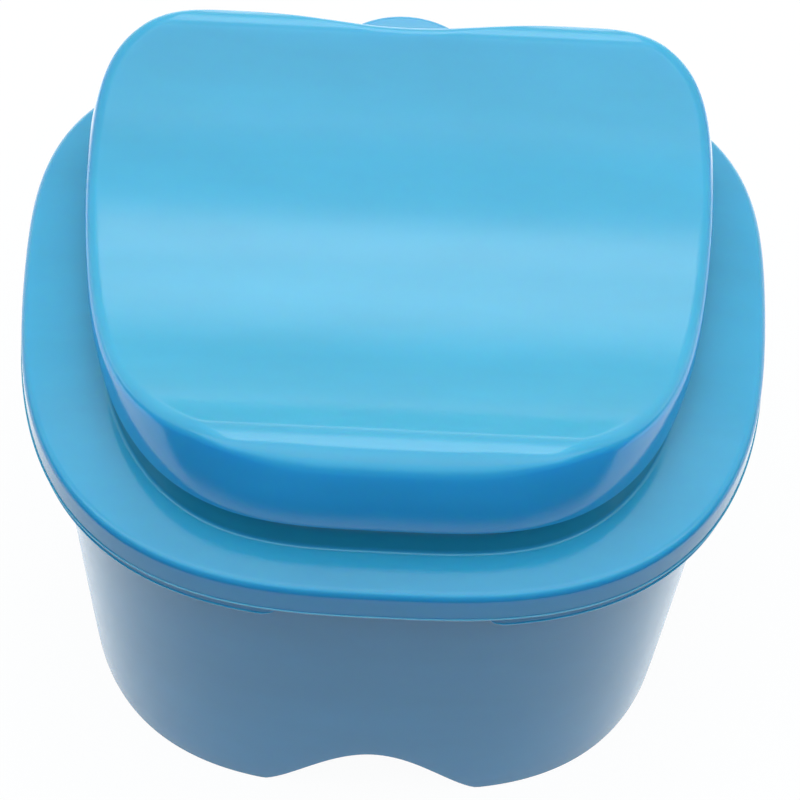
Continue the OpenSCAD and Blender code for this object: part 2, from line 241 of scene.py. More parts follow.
def line(shape, inset, angles=ANGLES):
    """Points of an outline at some angles, drawn in by an inset."""
    ahead = np.sin(angles) < 0
    half = shape.half - inset
    reach = np.where(ahead, shape.front, shape.rear) - inset
    square = np.where(ahead, *shape.squares)
    across = (np.abs(np.cos(angles)) / half) ** square
    along = (np.abs(np.sin(angles)) / reach) ** square
    radius = (across + along) ** (-1 / square)
    x, y = radius * np.cos(angles), radius * np.sin(angles)
    # The narrowing starts softly, so that the sides have no crease at the widest line
    soft = 4 * MM
    drawn = (np.sqrt(y * y + soft * soft) - y) / 2 / shape.front
    middle_share = np.minimum(1, np.abs(x) / (0.75 * shape.half))
    hollow = shape.hollow * (0.5 + 0.5 * np.cos(np.pi * middle_share)) * y / reach
    y = np.where(ahead, y, y - hollow)
    return np.stack([x * (1 - shape.narrowing * drawn), y + shape.middle], axis=1)


def ring(shape, inset, height, angles=ANGLES):
    """Level or waved ring along an outline."""
    flat = line(shape, inset, angles)
    return np.column_stack([flat, np.broadcast_to(height, len(flat))])


def arc(steps, end=90.0):
    """Angles of a rounding that starts at 0, in radians."""
    return np.radians(np.linspace(0, end, steps))


def corner(shape, inset, height, reach, rise, steps, angles=ANGLES, level_first=True):
    """Rings round the corner at an inset and a height, with a level and an upright leg."""
    out = []
    for a in arc(steps):
        level, upright = (np.sin(a), np.cos(a)) if level_first else (np.cos(a), np.sin(a))
        out.append(ring(shape, inset + reach * (1 - level), height + rise * (1 - upright), angles))
    return out


def places(case):
    """Places and outlines worked out from the sizes, as in the part's own source."""
    rim, cup, body, lid = case.rim, case.cup, case.frame, case.lid
    p = SimpleNamespace()
    p.front_y = RIM_LOW.y
    p.back_y = p.front_y + rim.depth
    p.middle_y = p.front_y + rim.widest
    p.cup_top = CUP_TOP
    p.gap = 0.05 * MM  # between pieces that rest on each other
    p.deck = p.cup_top + body.height
    p.deck_under = p.deck - body.wall
    p.land = p.deck + body.collar + p.gap
    p.wall_in = cup.flange_in + cup.flange_reach
    p.mouth_in = p.wall_in + cup.wall
    p.pad = p.deck + 0.4 * MM
    # Outlines are pairs of half superellipses, seen from above
    p.rim = SimpleNamespace(
        half=rim.width / 2, front=rim.widest, rear=rim.depth - rim.widest,
        squares=(rim.front_square, rim.rear_square), middle=p.middle_y,
        narrowing=rim.narrowing, hollow=0.0)
    lid_middle = p.middle_y + lid.shift
    p.lid = SimpleNamespace(
        half=rim.width / 2 - body.deck_side, front=lid_middle - p.front_y - body.deck_front,
        rear=p.back_y - body.deck_rear - lid_middle,
        squares=(lid.square_front, lid.square_rear), middle=lid_middle,
        narrowing=lid.narrowing, hollow=lid.hollow)
    p.lid_rear = p.back_y - body.deck_rear - lid.hollow
    p.bore_in = body.overhang + body.collar_wall
    p.rib_in = p.bore_in + EDGE
    p.ledge_in = p.bore_in + body.wall
    p.rib_z = p.land - lid.rib
    p.lip = p.rib_z - 0.2 * MM
    p.ledge = p.lip - 1.2 * MM
    p.low_y = p.front_y + lid.saddle_back
    p.low_z = p.land + lid.saddle
    p.hollow_z = p.low_z + lid.saddle_radius
    p.ridges = (
        (p.front_y + body.deck_front + lid.front_ridge_in, lid.front_ridge),
        (p.back_y - body.deck_rear - lid.rear_ridge_in, lid.rear_ridge),
    )
    return p


# Meshes


def skin(rings, ends=None):
    """Mesh over a row of rings: closed by two end points, or else run round in a loop."""
    count = len(rings[0])
    mesh = bmesh.new()
    rows = [[mesh.verts.new(point) for point in points] for points in rings]
    pairs = list(zip(rows, rows[1:])) if ends else list(zip(rows, rows[1:] + rows[:1]))
    for low, high in pairs:
        for i in range(count):
            j = (i + 1) % count
            mesh.faces.new((low[i], low[j], high[j], high[i]))
    for end, row in zip(ends or (), (rows[0], rows[-1])):
        tip = mesh.verts.new(end)
        for i in range(count):
            mesh.faces.new((tip, row[i], row[(i + 1) % count]))
    bmesh.ops.remove_doubles(mesh, verts=mesh.verts, dist=0.002 * MM)
    bmesh.ops.recalc_face_normals(mesh, faces=mesh.faces)
    return mesh


def mesh_of(name, shell):
    """Mesh made from an edited one, which is freed."""
    data = bpy.data.meshes.new(name)
    shell.to_mesh(data)
    shell.free()
    return data


def link(name, data):
    """Object linked into the scene."""
    thing = bpy.data.objects.new(name, data)
    bpy.context.scene.collection.objects.link(thing)
    return thing


def piece(name, shells, body, node, crease=math.radians(40)):
    """One object of closed shells, which rides on a body and stands for a CAD node."""
    whole = bmesh.new()
    for shell in shells:
        part = mesh_of(name, shell)
        whole.from_mesh(part)
        bpy.data.meshes.remove(part)
    return place(name, mesh_of(name, whole), body, node, crease)


def place(name, data, body, node, crease):
    """Puts a finished mesh into the scene on its body, in place of its CAD node."""
    data.shade_smooth()
    data.set_sharp_from_angle(angle=crease)
    thing = link(name, data)
    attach(thing, body)
    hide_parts(node)
    return thing


# Nodes

MATH, RAMP = "ShaderNodeMath", "ShaderNodeMapRange"
SMOOTH = {"interpolation_type": "SMOOTHSTEP"}


def add(tree, kind, inputs=None, **settings):
    """Adds a node with its settings and links; a node as an input stands for its first output."""
    node = tree.nodes.new(kind)
    for name, value in settings.items():
        setattr(node, name, value)
    for name, value in (inputs or {}).items():
        if isinstance(value, bpy.types.Node):
            value = value.outputs[0]
        if isinstance(value, bpy.types.NodeSocket):
            tree.links.new(value, node.inputs[name])
        else:
            node.inputs[name].default_value = value
    return node


def empty_tree(owner):
    """Empty node tree of a material or a world."""
    owner.use_nodes = True
    owner.node_tree.nodes.clear()
    return owner.node_tree


# Cup


def cup_inset(p, cup, height):
    """Inset of the cup's outer wall at a height."""
    return p.wall_in + cup.taper * (p.cup_top - height) / p.cup_top


def arch(cup, flat):
    """Height of the foot's lower edge at points of its outline."""
    share = np.clip(np.abs(flat[:, 0]) / (cup.arch_width / 2), 0, 1)
    # A cosine wave, made a little fuller by its power
    rise = cup.arch_height * (0.5 + 0.5 * np.cos(np.pi * share)) ** 0.65
    return np.where(flat[:, 1] < 0, rise, 0.0)


def cup_angles(p, cup):
    """Ring angles, with more of them where the flange stops at the thumb gap."""
    half = cup.thumb_gap / 2
    depth = line(p.rim, cup.flange_in, np.array([-np.pi / 2]))[0, 1] - p.middle_y
    end = math.atan2(depth, half)
    close = np.radians(np.linspace(-1.6, 1.6, 25))
    extra = np.concatenate([end + close, np.pi - end + close])
    return np.unique(np.round(np.mod(np.concatenate([ANGLES, extra]), 2 * np.pi), 6))


def make_cup(case):
    """Tapered tub with its raised floor, flange with a thumb gap and arched foot."""
    p, cup = places(case), case.cup
    angles = cup_angles(p, cup)
    foot_edge = arch(cup, line(p.rim, cup_inset(p, cup, 0), angles))
    flat = line(p.rim, cup.flange_in, angles)
    # 1 along the flange and 0 in the thumb gap, with a rounded end between
    end = np.clip((np.abs(flat[:, 0]) - cup.thumb_gap / 2 + 0.4 * MM) / (2 * MM), 0, 1)
    there = np.where(flat[:, 1] < p.middle_y, np.sqrt(1 - (1 - end) ** 2), 1.0)
    edge_in = p.wall_in - (p.wall_in - cup.flange_in) * there
    wall_top, flange_low = p.cup_top, p.cup_top - cup.flange
    foot_in = cup_inset(p, cup, foot_edge)
    skirt_in = cup_inset(p, cup, cup.foot) + cup.wall
    # Under the floor, down the inside of the foot, and up its outside
    rings = [
        ring(p.rim, skirt_in + 0.4 * MM, cup.foot, angles),
        ring(p.rim, skirt_in, cup.foot - 0.4 * MM, angles)]
    rings += corner(
        p.rim, foot_in + cup.wall, foot_edge, -LIP_SOFT, LIP_SOFT, 5, angles)[::-1]
    rings += corner(p.rim, foot_in, foot_edge, LIP_SOFT, LIP_SOFT, 6, angles)
    low, high = foot_edge + LIP_SOFT, flange_low - LIP_SOFT
    for share in np.linspace(0, 1, 14)[1:-1]:
        height = low + (high - low) * share
        rings.append(ring(p.rim, cup_inset(p, cup, height), height, angles))
    # Round the flange, which shrinks to nothing in the thumb gap
    for a in arc(5):
        back = np.minimum(LIP_SOFT * (1 - np.cos(a)), p.wall_in - edge_in)
        rings.append(ring(
            p.rim, cup_inset(p, cup, high) - back, high + LIP_SOFT * np.sin(a), angles))
    rings += corner(p.rim, edge_in - BEAD * there, flange_low, LIP, LIP, 8, angles)
    rings.append(ring(p.rim, edge_in, flange_low + LIP + BEAD / 3, angles))
    rings += corner(p.rim, edge_in, wall_top, EDGE, -EDGE, 5, angles, level_first=False)
    # Over the mouth and down the inside
    for share in 1 - np.cos(arc(4)[:-1]):
        rings.append(ring(p.rim, p.mouth_in - EDGE * (1 - share), wall_top - EDGE * share, angles))
    floor = cup.foot + cup.floor
    turn = floor + cup.floor_round
    inside = cup_inset(p, cup, turn) + cup.wall
    for share in np.linspace(0, 1, 8):
        height = wall_top - EDGE + (turn - wall_top + EDGE) * share
        rings.append(ring(p.rim, p.mouth_in + (inside - p.mouth_in) * share, height, angles))
    radius = cup.floor_round
    rings += corner(p.rim, inside, floor, radius, radius, 9, angles, level_first=False)[1:]
    middle = (0, p.middle_y)
    shell = skin(rings, ((*middle, cup.foot), (*middle, floor)))
    return piece("cup_body", [shell], "base", "cup")


# Rim frame


def at(x, points):
    """Points in Y and Z, set at a place along X."""
    return np.column_stack([np.full(len(points), x), points])


def barrel(profile, hole, low_x, high_x, bevel):
    """Bored block along X: an outer profile in Y and Z with bevelled ends, and its hole."""
    centre = hole.mean(axis=0)
    small = centre + (profile - centre) * (1 - bevel / np.abs(profile - centre).max())
    wide = centre + (hole - centre) * (1 + 0.5 * bevel / np.abs(hole - centre).max())
    return skin([
        at(low_x + bevel, profile), at(high_x - bevel, profile), at(high_x, small),
        at(high_x, wide), at(high_x - bevel / 2, hole), at(low_x + bevel / 2, hole),
        at(low_x, wide), at(low_x, small)])


def circle(centre, radius, angles):
    """Points of a circle in Y and Z."""
    return np.column_stack([
        centre[0] + radius * np.cos(angles), centre[1] + radius * np.sin(angles)])


def ear_profile(p, hinge, angles):
    """Rounded top over straight sides that run down into the pad, as points round the axis."""
    r = hinge.barrel / 2
    points = circle((HINGE.y, HINGE.z), r, angles)
    low = p.deck_under + 0.5 * MM
    down = np.sin(angles) < 0
    # About the root of 2 squares the circle off below the axis
    steep = np.where(down, np.abs(np.sin(angles)), 0)
    side = HINGE.y + r * np.clip(np.cos(angles) * 1.4, -1, 1)
    foot = HINGE.z - (HINGE.z - low) * np.clip(steep * 1.4, 0, 1)
    return np.where(down[:, None], np.column_stack([side, foot]), points)


def make_rim_frame(case):
    """Skirted deck with its collar, ledge and spigot, rear tab and two hinge ears."""
    p, body, hinge = places(case), case.frame, case.hinge
    spigot_in = p.mouth_in + EDGE
    spigot_low = p.cup_top - body.spigot
    skirt_low = p.cup_top + p.gap
    collar_in = body.overhang
    top = p.land - p.gap
    # The skirt's lower edge has a thin ledge, which catches the light
    rings = corner(p.rim, -BEAD, skirt_low, LIP, LIP, 8)
    rings.append(ring(p.rim, 0.0, skirt_low + LIP + BEAD / 3))
    # The rounded edge stops where it meets the slope of the crowned deck
    turns = arc(13, 78)
    rings += [
        ring(
            p.rim, body.rounding * (1 - np.cos(a)),
            p.deck - body.crown - body.rounding * (np.sin(turns[-1]) - np.sin(a)))
        for a in turns]
    deck_out = line(p.rim, body.rounding * (1 - np.cos(turns[-1])))
    deck_in = line(p.lid, collar_in - LIP_SOFT)
    for share in np.linspace(0, 1, 13)[1:-1]:
        # Almost an even slope, steepest at the edge
        height = p.deck - body.crown * (1 - share) ** 1.15
        flat = deck_out + (deck_in - deck_out) * share
        rings.append(np.column_stack([flat, np.full(RING, height)]))
    rings += corner(p.lid, collar_in, p.deck, -LIP_SOFT, LIP_SOFT, 6)
    rings += corner(p.lid, collar_in, top, EDGE, -EDGE, 5, level_first=False)
    rings += corner(p.lid, p.bore_in, top, -EDGE, -EDGE, 5)
    rings += [
        ring(p.lid, p.bore_in, p.ledge),
        ring(p.lid, p.ledge_in, p.ledge),
        ring(p.lid, p.ledge_in, p.deck_under),
        ring(p.rim, spigot_in + body.wall, p.deck_under),
        ring(p.rim, spigot_in + body.wall, spigot_low),
        ring(p.rim, spigot_in + EDGE, spigot_low),
        ring(p.rim, spigot_in, spigot_low + 2 * EDGE),
        ring(p.rim, spigot_in, p.deck_under),
        ring(p.rim, body.wall, p.deck_under),
        ring(p.rim, body.wall, skirt_low)]
    shells = [skin(rings), rear_tab(p, body)]
    turns = np.linspace(0, 2 * np.pi, 65)[:-1]
    hole = circle((HINGE.y, HINGE.z), PIN_RADIUS, turns)
    side_gap, bevel = 0.2 * MM, 0.25 * MM
    inner = hinge.knuckle / 2 + side_gap
    for side in (-1, 1):
        low, high = sorted((side * inner, side * (inner + hinge.ear)))
        shells.append(barrel(ear_profile(p, hinge, turns), hole, low, high, bevel))
    return piece("rim_frame_body", shells, "basket_frame", "rim_frame")


def rear_tab(p, body):
    """Rounded tab behind the rim, cut off where it meets the collar."""
    centre_y = RIM_HIGH.y - body.tab_radius
    thick = p.pad - p.deck_under
    soft = 0.4 * thick
    turns = np.linspace(0, 2 * np.pi, 145)[:-1]
    cut = p.lid_rear - body.overhang - body.collar_wall / 2

    def disc(radius, height):
        y = np.maximum(centre_y + radius * np.sin(turns), cut)
        return np.column_stack([radius * np.cos(turns), y, np.full(len(turns), height)])

    flat = body.tab_radius - soft
    rings = [disc(flat * 0.5, p.deck_under)]
    rings += [disc(flat + soft * np.sin(a), p.deck_under + soft * (1 - np.cos(a))) for a in arc(7)]
    rings += [disc(flat + soft * np.cos(a), p.pad - soft * (1 - np.sin(a))) for a in arc(7)]
    rings.append(disc(flat * 0.5, p.pad))
    return skin(rings, ((0, centre_y, p.deck_under), (0, centre_y, p.pad)))


# Lid


def saddle(p, lid, y, depth=0.0):
    """Height of the lid's top, or of a line that runs below it, at places along Y."""
    reach = lid.saddle_radius
    height = p.hollow_z - np.sqrt((reach + depth) ** 2 - (y - p.low_y) ** 2)
    for (centre, radius), side in zip(p.ridges, (-1, 1)):
        base = p.hollow_z - math.sqrt((reach + radius) ** 2 - (centre - p.low_y) ** 2)
        start = p.low_y + (centre - p.low_y) * (reach + depth) / (reach + radius)
        own = radius - depth
        # Past the ridge the height levels off, where the rounded edge has taken over
        rise = np.sqrt(np.maximum(own * own / 10, own * own - (y - centre) ** 2))
        height = np.where(side * (y - start) > 0, base + rise, height)
    return height


def fall_at(p, lid, inset):
    """How steeply the top falls towards the middle of the lid, seen square to its edge."""
    here, inside = line(p.lid, inset), line(p.lid, inset + MM)
    way = inside - here
    step = 0.05 * MM
    slope = (saddle(p, lid, here[:, 1] + step) - saddle(p, lid, here[:, 1] - step)) / (2 * step)
    return np.arctan(-slope * way[:, 1] / np.hypot(*way.T))


def lid_bend(p, lid):
    """Lean and tilt of the upright face, and radius, fall and centre height of its rounded edge."""
    start = 1.5 * lid.rounding
    high = saddle(p, lid, line(p.lid, start)[:, 1]) - p.land
    first = fall_at(p, lid, start)
    # The front edge is a broad nose, because the top falls away to it
    nose = np.clip(-first / math.radians(25), 0, 1) * np.clip(-np.sin(ANGLES) / 0.4, 0, 1)
    nose = nose * nose * (3 - 2 * nose)
    # Elsewhere a top that falls outwards leaves less of an edge to round
    edge = lid.rounding * (1 + np.minimum(0, np.degrees(first)) / 75)
    radius = np.minimum(edge + (lid.nose - edge) * nose, high - 2 * EDGE)
    draft = np.tan(lid.draft + (lid.nose_draft - lid.draft) * nose)
    lean = (high - radius) * draft
    # The crowned face has twice its mean lean where the rounded edge takes over
    tilt = np.arctan(2 * draft)
    fall = first
    for _ in range(6):
        fall = (fall + fall_at(p, lid, lean + radius * (np.cos(tilt) + np.sin(fall)))) / 2
    inner = line(p.lid, lean + radius * (np.cos(tilt) + np.sin(fall)))
    return lean, tilt, radius, fall, saddle(p, lid, inner[:, 1]) - radius * np.cos(fall)


def lid_shell(p, lid):
    """Closed skin of the lid: underside, locating rib, upright face, rounded edge and saddle."""
    lean, tilt, radius, fall, centre = lid_bend(p, lid)
    low = p.land + LIP
    high = centre + radius * np.sin(tilt)
    face = [
        np.column_stack([line(p.lid, share * share * lean), low + share * (high - low)])
        for share in np.linspace(0, 1, 13)]
    bend = []
    for share in np.linspace(0, 1, 13)[1:]:
        turn = tilt + share * (np.pi / 2 + fall - tilt)
        bend.append(np.column_stack([
            line(p.lid, lean + radius * (np.cos(tilt) - np.cos(turn))),
            centre + radius * np.sin(turn)]))
    middle = np.array([0, p.low_y])
    shares = np.concatenate([np.linspace(0.06, 0.66, 16), np.linspace(0.68, 0.99, 32)])

    def spread(edge, share, depth):
        flat = middle + (edge - middle) * share
        return np.column_stack([flat, saddle(p, lid, flat[:, 1], depth)])

    rib = line(p.lid, p.rib_in + lid.rib_wall)
    under = [spread(rib, share, lid.wall) for share in (*shares[::2], 1.0)]
    under += [
        ring(p.lid, p.rib_in + lid.rib_wall, p.rib_z),
        ring(p.lid, p.rib_in + EDGE, p.rib_z),
        ring(p.lid, p.rib_in, p.rib_z + EDGE),
        ring(p.lid, p.rib_in, p.land)]
    under += corner(p.lid, 0.0, p.land, LIP, LIP, 8)[:-1]
    top = [spread(bend[-1][:, :2], share, 0.0) for share in shares[::-1]]
    ends = [(0, p.low_y, float(saddle(p, lid, np.array(p.low_y), d))) for d in (lid.wall, 0.0)]
    return skin(under + face + bend + top, ends)


def knuckle(p, lid, hinge):
    """Knuckle with its arm and the small lug that stops the open lid."""
    turns = np.linspace(0, 2 * np.pi, 97)[:-1]
    r = hinge.barrel / 2
    # The lug stands out just past the pad, and turns down onto it as the lid opens
    drop = HINGE.z - p.pad
    lug, lug_width, play = drop + 0.45 * MM, math.radians(22), math.radians(1.5)
    points = circle((HINGE.y, HINGE.z), r, turns)
    start = hinge.opening - math.asin(drop / lug) + play
    offset = np.mod(turns - start, 2 * np.pi)
    tip = offset < lug_width
    points[tip] = circle((HINGE.y, HINGE.z), lug, turns[tip])
    running_gap, bevel = 0.06 * MM, 0.2 * MM
    bore = circle((HINGE.y, HINGE.z), PIN_RADIUS + running_gap, turns)
    half = hinge.knuckle / 2
    shells = [barrel(points, bore, -half, half, bevel)]
    wall_y = p.lid_rear - MM
    outline_yz = np.array([
        (wall_y, p.land + EDGE), (wall_y + 2 * MM, p.land),
        (HINGE.y - r * 0.75, HINGE.z - r * 0.66), (HINGE.y - r * 0.8, HINGE.z),
        (HINGE.y - r * 0.55, HINGE.z + r * 0.8), (wall_y, p.land + lid.saddle + EDGE)])
    centre = outline_yz.mean(axis=0)
    small = centre + (outline_yz - centre) * 0.9
    wide = half - bevel
    arm = [at(-half, small), at(-wide, outline_yz), at(wide, outline_yz), at(half, small)]
    shells.append(skin(arm, ((-half, *centre), (half, *centre))))
    return shells


def make_lid(case):
    """Saddle-topped lid with its knuckle."""
    p, lid, hinge = places(case), case.lid, case.hinge
    shells = [lid_shell(p, lid), *knuckle(p, lid, hinge)]
    return piece("lid_shell", shells, "lid", "lid", math.radians(50))


# Strainer basket

BASKET_ROUND = 6 * MM  # between the basket's wall and floor


def basket_shell(p, basket):
    """Plain basket without its slots: rounded floor, slanted wall and hanging lip."""
    inset = p.ledge_in + EDGE
    low = p.lip - basket.depth
    inner_round = BASKET_ROUND - basket.wall
    turn = low + BASKET_ROUND

    def lean(height):
        return inset + basket.taper * (p.ledge - height) / basket.depth

    base = lean(turn)
    rings = corner(p.lid, base, low, BASKET_ROUND, BASKET_ROUND, 10)
    rings += [ring(p.lid, lean(z), z) for z in np.linspace(turn, p.ledge, 12)[1:]]
    rings += [
        ring(p.lid, p.bore_in + EDGE, p.ledge),
        ring(p.lid, p.bore_in + EDGE, p.lip - EDGE),
        ring(p.lid, p.bore_in + 2 * EDGE, p.lip),
        ring(p.lid, inset + basket.wall - EDGE, p.lip)]
    rings += [
        ring(p.lid, lean(z) + basket.wall, z)
        for z in np.linspace(p.lip - EDGE, turn, 12)]
    rings += corner(
        p.lid, base + basket.wall, turn - inner_round, inner_round, inner_round, 10,
        level_first=False)[1:]
    middle = (0, p.low_y)
    return skin(rings, ((*middle, low), (*middle, low + basket.wall)))


def slot_tree():
    """Node group that cuts upright slots round a basket's wall and a row of slots in its floor."""
    tree = bpy.data.node_groups.new("Drain slots", "GeometryNodeTree")
    sockets = (
        ("Geometry", "Geometry"), ("Slots", "Int"), ("Slot Width", "Float"),
        ("Slot Height", "Float"), ("Slot Centre", "Vector"), ("Reach", "Float"),
        ("Floor Slots", "Int"), ("Floor Pitch", "Float"), ("Floor Reach", "Float"),
        ("Floor Centre", "Vector"), ("Material", "Material"))
    for name, kind in sockets:
        tree.interface.new_socket(name, in_out="INPUT", socket_type="NodeSocket" + kind)
    tree.interface.new_socket("Geometry", in_out="OUTPUT", socket_type="NodeSocketGeometry")
    given = add(tree, "NodeGroupInput").outputs
    width, reach, pitch = given["Slot Width"], given["Reach"], given["Floor Pitch"]

    radius = add(tree, MATH, {0: width, 1: 2}, operation="DIVIDE")
    index = add(tree, "GeometryNodeInputIndex")
    own = add(tree, "GeometryNodeInputPosition")
    own = add(tree, "ShaderNodeSeparateXYZ", {"Vector": own}).outputs
    side = add(tree, MATH, {0: own["Y"]}, operation="SIGN")

    # Wall cutters: a round rod along Z, drawn out along Y, then turned to point outwards
    rod = add(tree, "GeometryNodeMeshCylinder", {"Vertices": 24, "Radius": radius, "Depth": reach})
    half = add(tree, MATH, {0: given["Slot Height"], 1: 2}, operation="DIVIDE")
    straight = add(tree, MATH, {0: half, 1: radius}, operation="SUBTRACT")
    stretch = add(tree, MATH, {0: side, 1: straight}, operation="MULTIPLY")
    stretch = add(tree, "ShaderNodeCombineXYZ", {"Y": stretch})
    cutter = add(tree, "GeometryNodeSetPosition", {"Geometry": rod, "Offset": stretch})
    turns = add(tree, MATH, {0: index, 1: 0.5}, operation="ADD")
    turns = add(tree, MATH, {0: turns, 1: 2 * math.pi}, operation="MULTIPLY")
    angle = add(tree, MATH, {0: turns, 1: given["Slots"]}, operation="DIVIDE")
    spoke = add(tree, "ShaderNodeCombineXYZ", {
        "X": add(tree, MATH, {0: angle}, operation="COSINE"),
        "Y": add(tree, MATH, {0: angle}, operation="SINE")})
    # Each rod's middle stands so far out that it cuts one side of the wall only
    away = add(tree, MATH, {0: reach, 1: 0.85}, operation="MULTIPLY")
    spot = add(tree, "ShaderNodeVectorMath", {"Vector": spoke, "Scale": away}, operation="SCALE")
    spot = add(tree, "ShaderNodeVectorMath", {0: spot, 1: given["Slot Centre"]}, operation="ADD")
    spots = add(tree, "GeometryNodePoints", {"Count": given["Slots"], "Position": spot})
    heading = add(tree, MATH, {0: angle, 1: math.pi / 2}, operation="ADD")
    heading = add(tree, "ShaderNodeCombineXYZ", {"X": math.pi / 2, "Z": heading})
    wall_cut = add(tree, "GeometryNodeInstanceOnPoints", {
        "Points": spots, "Instance": cutter, "Rotation": heading})

    # Floor cutters: upright posts in a row, each drawn out along Y as far as the floor allows
    post = add(tree, "GeometryNodeMeshCylinder", {
        "Vertices": 24, "Radius": radius, "Depth": 8 * MM})
    middle = add(tree, MATH, {0: given["Floor Slots"], 1: 1}, operation="SUBTRACT")
    middle = add(tree, MATH, {0: middle, 1: 2}, operation="DIVIDE")
    place_x = add(tree, MATH, {0: index, 1: middle}, operation="SUBTRACT")
    place_x = add(tree, MATH, {0: place_x, 1: pitch}, operation="MULTIPLY")
    row = add(tree, "ShaderNodeCombineXYZ", {"X": place_x})
    row = add(tree, "GeometryNodePoints", {"Count": given["Floor Slots"], "Position": row})
    posts = add(tree, "GeometryNodeInstanceOnPoints", {"Points": row, "Instance": post})
    posts = add(tree, "GeometryNodeRealizeInstances", {"Geometry": posts})
    post_x = add(tree, MATH, {0: own["X"], 1: pitch}, operation="DIVIDE")
    post_x = add(tree, MATH, {0: post_x}, operation="ROUND")
    post_x = add(tree, MATH, {0: post_x, 1: pitch}, operation="MULTIPLY")
    limit = add(tree, MATH, {0: given["Floor Reach"], 1: width}, operation="ADD")
    share = add(tree, MATH, {0: post_x, 1: limit}, operation="DIVIDE")
    share = add(tree, MATH, {0: share, 1: share}, operation="MULTIPLY")
    chord = add(tree, MATH, {0: 1, 1: share}, operation="SUBTRACT")
    chord = add(tree, MATH, {0: chord}, operation="SQRT")
    run = add(tree, MATH, {0: given["Floor Reach"], 1: chord}, operation="MULTIPLY")
    run = add(tree, MATH, {0: run, 1: radius}, operation="SUBTRACT")
    run = add(tree, MATH, {0: side, 1: run}, operation="MULTIPLY")
    run = add(tree, "ShaderNodeCombineXYZ", {"Y": run})
    posts = add(tree, "GeometryNodeSetPosition", {"Geometry": posts, "Offset": run})
    floor_cut = add(tree, "GeometryNodeTransform", {
        "Geometry": posts, "Translation": given["Floor Centre"]})

    cutters = add(tree, "GeometryNodeJoinGeometry")
    for part in (add(tree, "GeometryNodeRealizeInstances", {"Geometry": wall_cut}), floor_cut):
        tree.links.new(part.outputs[0], cutters.inputs[0])
    cut = add(tree, "GeometryNodeMeshBoolean", {
        "Mesh 1": given["Geometry"], "Mesh 2": cutters}, operation="DIFFERENCE", solver="EXACT")
    real = add(tree, "GeometryNodeRealizeInstances", {"Geometry": cut})
    painted = add(tree, "GeometryNodeSetMaterial", {
        "Geometry": real, "Material": given["Material"]})
    add(tree, "NodeGroupOutput", {"Geometry": painted})
    return tree


def make_basket(case, plastic):
    """Strainer basket with its drain slots."""
    p, basket = places(case), case.basket
    blank = link("basket_blank", mesh_of("basket_blank", basket_shell(p, basket)))
    tree = slot_tree()
    modifier = blank.modifiers.new("Drain slots", "NODES")
    modifier.node_group = tree
    low = p.lip - basket.depth
    plain_band = 5 * MM  # over the slots
    slot_middle = p.ledge - plain_band - basket.slot_height / 2
    floor_reach = p.lid.half - (p.ledge_in + EDGE) - basket.taper - BASKET_ROUND
    values = {
        "Slots": basket.slots, "Slot Width": basket.slot_width, "Slot Height": basket.slot_height,
        "Slot Centre": (0, p.low_y, slot_middle), "Reach": 50 * MM,
        "Floor Slots": basket.floor_slots, "Floor Pitch": 1.9 * basket.slot_width,
        "Floor Reach": floor_reach, "Floor Centre": (0, p.low_y, low), "Material": plastic}
    for item in tree.interface.items_tree:
        if item.in_out == "INPUT" and item.name in values:
            modifier[item.identifier] = values[item.name]
    graph = bpy.context.evaluated_depsgraph_get()
    cut = bpy.data.meshes.new_from_object(blank.evaluated_get(graph))
    bpy.data.objects.remove(blank)
    return place(
        "strainer", cut, "basket_frame", "strainer_basket", math.radians(35))


# Plastics

# Flow marks of the melt are about 25 mm long and 8 mm apart
FLOW_MARKS = (1 / (25 * MM), 3 / (25 * MM), 3 / (25 * MM))
# Handling marks are about 3 mm across
HANDLING = 1 / (3.03 * MM)
# Orange peel is about 1.5 mm across; too shallow to show, so it is drawn a few times deeper
PEEL = 1 / (1.54 * MM)


